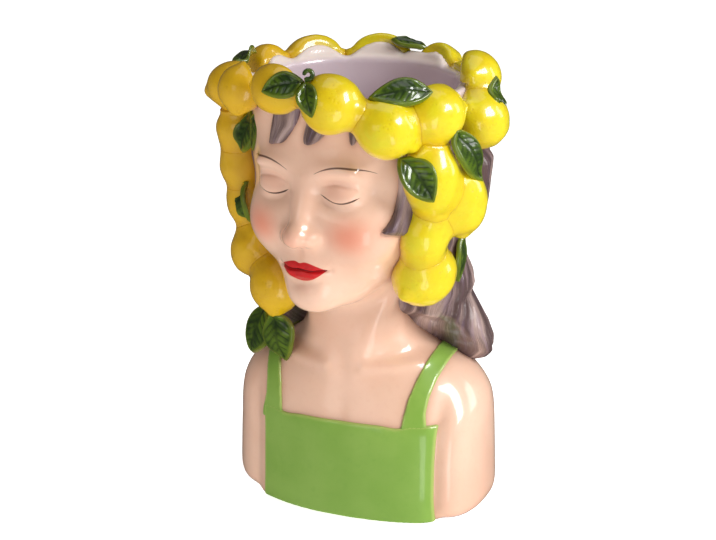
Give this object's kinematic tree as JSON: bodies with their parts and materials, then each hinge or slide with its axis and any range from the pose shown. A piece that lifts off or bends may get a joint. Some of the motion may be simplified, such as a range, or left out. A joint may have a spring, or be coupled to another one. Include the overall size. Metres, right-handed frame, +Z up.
{
  "type": "head planter",
  "caption": "Glazed ceramic planter shaped as a head and shoulders, with an open crown for the plant, a garland of lemons and leaves, and a drain stopper.",
  "frame": {"origin": "bottom centre of the whole planter's box, on the surface it stands on", "axes": "+Z up; the figure looks along -Y; +X is the figure's own left"},
  "size_m": [0.198, 0.1968, 0.3144],
  "materials": {
    "skin_glaze": "glossy clear glaze over peach-painted earthenware, blushed, unglazed foot ring",
    "dress_glaze": "glossy apple-green glaze",
    "hair_glaze": "brushed grey-taupe under a glossy clear glaze, combed grooves",
    "lemon_glaze": "mottled lemon-yellow glaze with pores and ochre creases, glossy",
    "leaf_glaze": "dark green glaze, lighter raised edges and veins, glossy",
    "stopper_rubber": "moulded soft rubber"
  },
  "bodies": {
    "planter": {"torso_casting": "skin_glaze", "head_casting": "skin_glaze", "bodice_front": "dress_glaze", "bodice_back": "dress_glaze", "strap_left": "dress_glaze", "strap_right": "dress_glaze", "hair_back": "hair_glaze", "hair_side_lock": "hair_glaze", "fringe_locks": "hair_glaze", "stalk_curl": "leaf_glaze", "crown_lemon_01_front": "lemon_glaze", "crown_lemon_02_front_left": "lemon_glaze", "crown_lemon_03_left": "lemon_glaze", "crown_lemon_04_left_low": "lemon_glaze", "crown_lemon_05_left_high": "lemon_glaze", "crown_lemon_06_back_left": "lemon_glaze", "crown_lemon_07_back_left": "lemon_glaze", "crown_lemon_08_back": "lemon_glaze", "crown_lemon_09_back_right": "lemon_glaze", "crown_lemon_10_right": "lemon_glaze", "crown_lemon_11_right_low": "lemon_glaze", "crown_lemon_12_right": "lemon_glaze", "crown_lemon_13_brow": "lemon_glaze", "under_lemon_1_back_left": "lemon_glaze", "under_lemon_2_back_left": "lemon_glaze", "under_lemon_3_back": "lemon_glaze", "under_lemon_4_back_right": "lemon_glaze", "under_lemon_5_back_right": "lemon_glaze", "left_fall_lemon_1": "lemon_glaze", "left_fall_lemon_2": "lemon_glaze", "left_fall_lemon_3": "lemon_glaze", "left_fall_lemon_4": "lemon_glaze", "right_fall_lemon_1": "lemon_glaze", "right_fall_lemon_2": "lemon_glaze", "right_fall_lemon_3": "lemon_glaze", "right_fall_lemon_4": "lemon_glaze", "right_fall_lemon_5": "lemon_glaze", "right_fall_lemon_6_behind": "lemon_glaze", "right_fall_lemon_7_behind": "lemon_glaze", "leaf_rim_right": "leaf_glaze", "leaf_brow_flat": "leaf_glaze", "leaf_brow_hanging": "leaf_glaze", "leaf_crown_front": "leaf_glaze", "leaf_rim_back": "leaf_glaze", "leaf_rim_left": "leaf_glaze", "leaf_fall_left_high": "leaf_glaze", "leaf_temple_left": "leaf_glaze", "leaf_temple_right_outer": "leaf_glaze", "leaf_temple_right_inner": "leaf_glaze", "leaf_fall_right_low": "leaf_glaze", "leaf_tail_right_outer": "leaf_glaze", "leaf_tail_right_inner": "leaf_glaze", "leaf_fall_left_behind": "leaf_glaze", "leaf_back_high": "leaf_glaze", "leaf_back_left": "leaf_glaze", "leaf_back_right": "leaf_glaze", "leaf_fall_right_behind": "leaf_glaze"},
    "stopper": {"drain_stopper": "stopper_rubber"}
  },
  "joints": [
    {"name": "stopper_pull", "type": "slide", "parent": "planter", "child": "stopper", "axis": [0, 0, -1], "range_m": [0, 0.02]}
  ]
}
